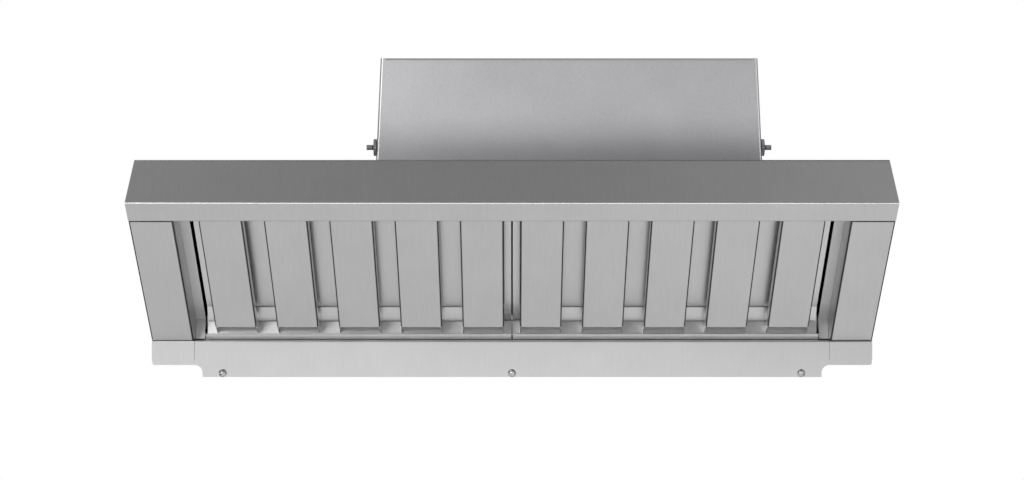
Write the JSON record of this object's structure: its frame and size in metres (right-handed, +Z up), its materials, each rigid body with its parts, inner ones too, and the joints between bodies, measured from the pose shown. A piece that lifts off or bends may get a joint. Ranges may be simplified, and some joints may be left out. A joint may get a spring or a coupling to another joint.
{
  "type": "ventless oven hood",
  "caption": "Ventless stainless hood for a wall-fixed oven front: sloping grease filters under a visor, boxed body behind, and a tilting cowl over the roof outlet.",
  "frame": {"origin": "middle fixing screw's axis at the back face of the front flange, where it meets the oven's front", "axes": "+X to the right seen from the front, +Y back over the oven, +Z up"},
  "size_m": [0.85, 0.8777, 0.3862],
  "materials": {
    "brushed_stainless": "brushed",
    "screw_steel": "bright",
    "dull_steel": "dull",
    "rubber": "matte",
    "cast_aluminium": "satin",
    "fin_aluminium": "satin",
    "copper_pipe": "satin",
    "brass": "satin",
    "black_plastic": "matte",
    "pale_plastic": "matte"
  },
  "bodies": {
    "hood": {"visor": "brushed_stainless", "end_cheek_left": "brushed_stainless", "end_cheek_right": "brushed_stainless", "filter_guide_left": "brushed_stainless", "filter_guide_right": "brushed_stainless", "top_rail": "brushed_stainless", "gutter": "brushed_stainless", "front_tab": "brushed_stainless", "ear_left": "brushed_stainless", "ear_right": "brushed_stainless", "tab_screws": "screw_steel", "base_tray": "dull_steel", "roof_strips": "rubber", "side_wall_left": "brushed_stainless", "side_wall_right": "brushed_stainless", "rear_panel": "brushed_stainless", "top_cover": "brushed_stainless", "cover_screws": "screw_steel", "rear_screws": "screw_steel", "outlet_collar": "brushed_stainless", "outlet_guard": "screw_steel", "cowl_studs": "screw_steel", "clamp_discs": "screw_steel", "clamp_rings": "rubber", "sleeve_nuts": "screw_steel", "fan_chamber": "dull_steel", "inlet_ring": "dull_steel", "fan_motor": "black_plastic", "motor_bracket": "dull_steel", "condenser_fins": "fin_aluminium", "condenser_tube": "copper_pipe", "condenser_plates": "dull_steel", "steam_collar": "brushed_stainless", "steam_gasket": "rubber", "drain_spigot": "brushed_stainless", "water_inlet": "brass", "water_valve": "black_plastic", "water_pipe": "copper_pipe", "control_box": "dull_steel", "control_lid": "brushed_stainless", "terminal_block": "pale_plastic", "cable_gland": "black_plastic", "gland_nut": "black_plastic"},
    "filter_left": {"filter_frame_left": "brushed_stainless", "front_baffles_left": "brushed_stainless", "rear_baffles_left": "brushed_stainless"},
    "filter_right": {"filter_frame_right": "brushed_stainless", "front_baffles_right": "brushed_stainless", "rear_baffles_right": "brushed_stainless"},
    "cowl": {"cowl": "brushed_stainless"},
    "fan": {"fan_wheel": "cast_aluminium", "fan_axle": "screw_steel"}
  },
  "joints": [
    {"name": "filter_left_lift", "type": "slide", "parent": "hood", "child": "filter_left", "axis": [0, -0.6874, 0.7263], "range_m": [0, 0.015]},
    {"name": "filter_right_lift", "type": "slide", "parent": "hood", "child": "filter_right", "axis": [0, -0.6874, 0.7263], "range_m": [0, 0.015]},
    {"name": "cowl_tilt", "type": "hinge", "parent": "hood", "child": "cowl", "pos_m": [0.0706, 0.112, 0.2717], "axis": [-1, 0, 0], "range_deg": [0, 30]},
    {"name": "fan_spin", "type": "hinge", "parent": "hood", "child": "fan", "pos_m": [0.0706, 0.24, 0.1315], "axis": [0, 1, 0], "continuous": true}
  ]
}
